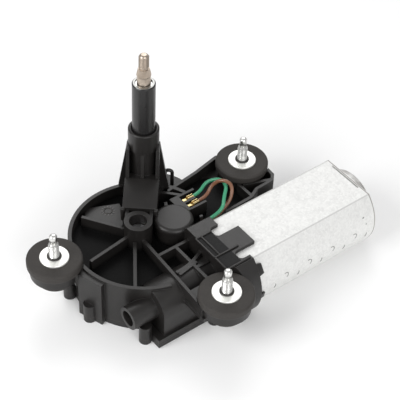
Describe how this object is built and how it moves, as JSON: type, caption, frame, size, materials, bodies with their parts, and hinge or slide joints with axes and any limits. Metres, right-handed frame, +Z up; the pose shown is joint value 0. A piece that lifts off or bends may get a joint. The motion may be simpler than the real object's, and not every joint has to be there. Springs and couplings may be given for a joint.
{
  "type": "wiper motor",
  "caption": "Geared wiper motor with a round flat-sided can, ribbed drum housing, upright splined spindle on a tall tower and damped mounting ears.",
  "frame": {"origin": "on the output spindle's axis at the outer face of the bottom cover", "axes": "+Z up along the spindle; +X along the motor can towards its closed end; +Y away from the can"},
  "size_m": [0.197, 0.1293, 0.1306],
  "materials": {
    "housing_nylon": "glass-filled nylon, fine moulded grain",
    "cover_zinc": "cast plate, black coated",
    "seal_rubber": "matt",
    "screw_steel": "zinc plated",
    "tube_steel": "black coated, satin, bright ring at the top edge",
    "sinter_bronze": "oil-filled sintered bronze",
    "can_steel": "galvanised, matt spangle",
    "ferrite": "ground ferrite",
    "brush_plate_plastic": "phenolic board",
    "carbon": "pressed carbon",
    "bearing_steel": "ground",
    "thrust_plastic": "moulded",
    "terminal_tin": "bright pressed brass",
    "green_insulation": "PVC insulation",
    "brown_insulation": "PVC insulation",
    "shaft_steel": "ground",
    "lamination_steel": "stamped laminations",
    "copper_enamel": "enamelled copper",
    "commutator_copper": "turned copper bars",
    "wheel_acetal": "moulded acetal, greased",
    "spindle_steel": "zinc plated",
    "gear_steel": "sintered steel",
    "link_steel": "stamped",
    "grommet_rubber": "matt, moulded",
    "sleeve_zinc": "yellow zinc",
    "stud_zinc": "zinc plated"
  },
  "bodies": {
    "housing": {"gear_housing": "housing_nylon", "bottom_cover": "cover_zinc", "cover_seal": "seal_rubber", "cover_screws": "screw_steel", "spindle_tube": "tube_steel", "lower_bush": "sinter_bronze", "upper_bush": "sinter_bronze", "wheel_bush": "sinter_bronze", "motor_can": "can_steel", "magnets": "ferrite", "brush_plate": "brush_plate_plastic", "brushes": "carbon", "ball_bearing": "bearing_steel", "rear_bush": "sinter_bronze", "nose_bush": "sinter_bronze", "thrust_plug": "thrust_plastic", "grommet_left": "grommet_rubber", "grommet_front": "grommet_rubber", "grommet_rear": "grommet_rubber", "sleeve_left": "sleeve_zinc", "sleeve_front": "sleeve_zinc", "sleeve_rear": "sleeve_zinc", "stud_left": "stud_zinc", "stud_front": "stud_zinc", "stud_rear": "stud_zinc", "terminal_green": "terminal_tin", "terminal_brown": "terminal_tin", "green_wire": "green_insulation", "brown_wire": "brown_insulation"},
    "armature": {"armature_shaft": "shaft_steel", "armature_core": "lamination_steel", "armature_windings": "copper_enamel", "commutator": "commutator_copper"},
    "wheel": {"worm_wheel": "wheel_acetal", "wheel_shaft": "shaft_steel", "crank_pin": "shaft_steel"},
    "spindle": {"output_spindle": "spindle_steel", "output_pinion": "gear_steel", "spindle_clip": "screw_steel"},
    "link": {"guide_link": "link_steel", "link_pin": "shaft_steel"},
    "conrod": {"toothed_conrod": "gear_steel"}
  },
  "joints": [
    {"name": "armature_spin", "type": "hinge", "parent": "housing", "child": "armature", "pos_m": [-0.0249, -0.0697, 0.0192], "axis": [1, 0, 0], "continuous": true},
    {"name": "wheel_spin", "type": "hinge", "parent": "housing", "child": "wheel", "pos_m": [-0.0249, -0.0294, 0.0184], "axis": [0, 0, 1], "continuous": true},
    {"name": "spindle_sweep", "type": "hinge", "parent": "housing", "child": "spindle", "pos_m": [0, 0, 0.06], "axis": [0, 0, 1], "range_deg": [-56, 56]},
    {"name": "link_swing", "type": "hinge", "parent": "housing", "child": "link", "pos_m": [0, 0, 0.0063], "axis": [0, 0, 1], "range_deg": [-22, 22]},
    {"name": "conrod_swing", "type": "hinge", "parent": "link", "child": "conrod", "pos_m": [-0.00131, -0.01996, 0.0102], "axis": [0, 0, 1], "range_deg": [-33, 33]}
  ],
  "couplings": [
    {"joint": "wheel_spin", "follows": "armature_spin", "ratio": -0.016129},
    {"joint": "link_swing", "follows": "spindle_sweep", "ratio": 0.377},
    {"joint": "conrod_swing", "follows": "spindle_sweep", "ratio": -0.56367}
  ]
}
